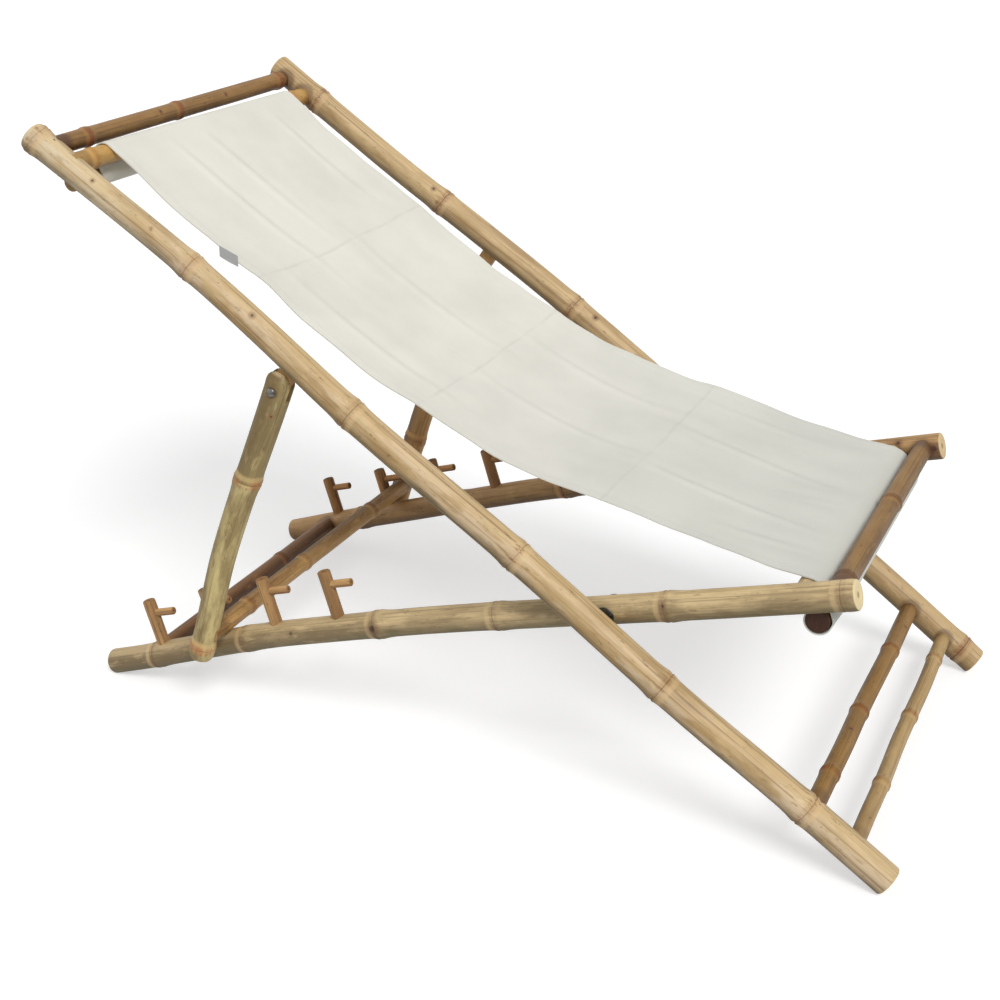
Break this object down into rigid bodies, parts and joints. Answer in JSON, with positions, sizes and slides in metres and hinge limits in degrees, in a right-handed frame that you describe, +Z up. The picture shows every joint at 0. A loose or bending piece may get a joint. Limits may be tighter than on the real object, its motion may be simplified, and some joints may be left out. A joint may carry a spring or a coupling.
{
  "type": "bamboo folding recliner",
  "caption": "Folding recliner of bamboo poles with a canvas sling, crossed back and seat frames, and a hinged prop that drops into pegged hooks to set the recline.",
  "frame": {"origin": "on the floor, at the bottom centre of the bounding box with the prop in its second hook", "axes": "+X towards the foot end, +Y towards the sitter's left, +Z up"},
  "size_m": [1.2314, 0.6536, 0.8329],
  "materials": {
    "bamboo_pale": "smooth bamboo skin, thin clear coat",
    "bamboo_grey": "weathered bamboo skin, dull",
    "bamboo_olive": "bamboo skin, dull",
    "bamboo_brown": "dark stained bamboo, satin",
    "bamboo_tan": "smooth bamboo skin, satin",
    "bamboo_peg": "dark bamboo, dull",
    "steel": "zinc plated, satin",
    "canvas": "plain weave, matt",
    "tag": "woven tape, blank"
  },
  "bodies": {
    "back_frame": {"head_bar": "bamboo_brown", "head_sling_bar": "bamboo_tan", "upper_rung": "bamboo_brown", "lower_rung": "bamboo_brown", "head_sling_rod": "bamboo_tan", "back_rail_right": "bamboo_pale", "prop_tongue_right": "bamboo_brown", "fold_bolt_right": "steel", "fold_head_washer_right": "steel", "fold_washer_right": "steel", "back_rail_left": "bamboo_pale", "prop_tongue_left": "bamboo_brown", "fold_bolt_left": "steel", "fold_head_washer_left": "steel", "fold_washer_left": "steel", "sling": "canvas", "care_tag": "tag"},
    "seat_frame": {"front_bar": "bamboo_tan", "front_sling_bar": "bamboo_grey", "rear_bar": "bamboo_brown", "front_sling_rod": "bamboo_brown", "peg_post_right_1": "bamboo_peg", "peg_dowel_right_1": "bamboo_peg", "peg_post_right_2": "bamboo_peg", "peg_dowel_right_2": "bamboo_peg", "peg_post_right_3": "bamboo_peg", "peg_dowel_right_3": "bamboo_peg", "peg_post_right_4": "bamboo_peg", "peg_dowel_right_4": "bamboo_peg", "seat_rail_right": "bamboo_grey", "peg_post_left_1": "bamboo_peg", "peg_dowel_left_1": "bamboo_peg", "peg_post_left_2": "bamboo_peg", "peg_dowel_left_2": "bamboo_peg", "peg_post_left_3": "bamboo_peg", "peg_dowel_left_3": "bamboo_peg", "peg_post_left_4": "bamboo_peg", "peg_dowel_left_4": "bamboo_peg", "seat_rail_left": "bamboo_grey"},
    "prop_frame": {"prop_bar": "bamboo_tan", "prop_leg_right": "bamboo_olive", "prop_pin_right": "steel", "prop_leg_left": "bamboo_olive", "prop_pin_left": "steel"}
  },
  "joints": [
    {"name": "fold", "type": "hinge", "parent": "back_frame", "child": "seat_frame", "pos_m": [0.21039, 0, 0.28196], "axis": [0, 1, 0], "range_deg": [-13.25, 41], "deforming": ["sling", "care_tag"]},
    {"name": "prop_swing", "type": "hinge", "parent": "back_frame", "child": "prop_frame", "pos_m": [-0.24263, 0, 0.52244], "axis": [0, 1, 0], "range_deg": [-32.33, 100.04]}
  ],
  "couplings": [
    {"joint": "prop_swing", "follows": "fold", "ratio": 2.44}
  ]
}
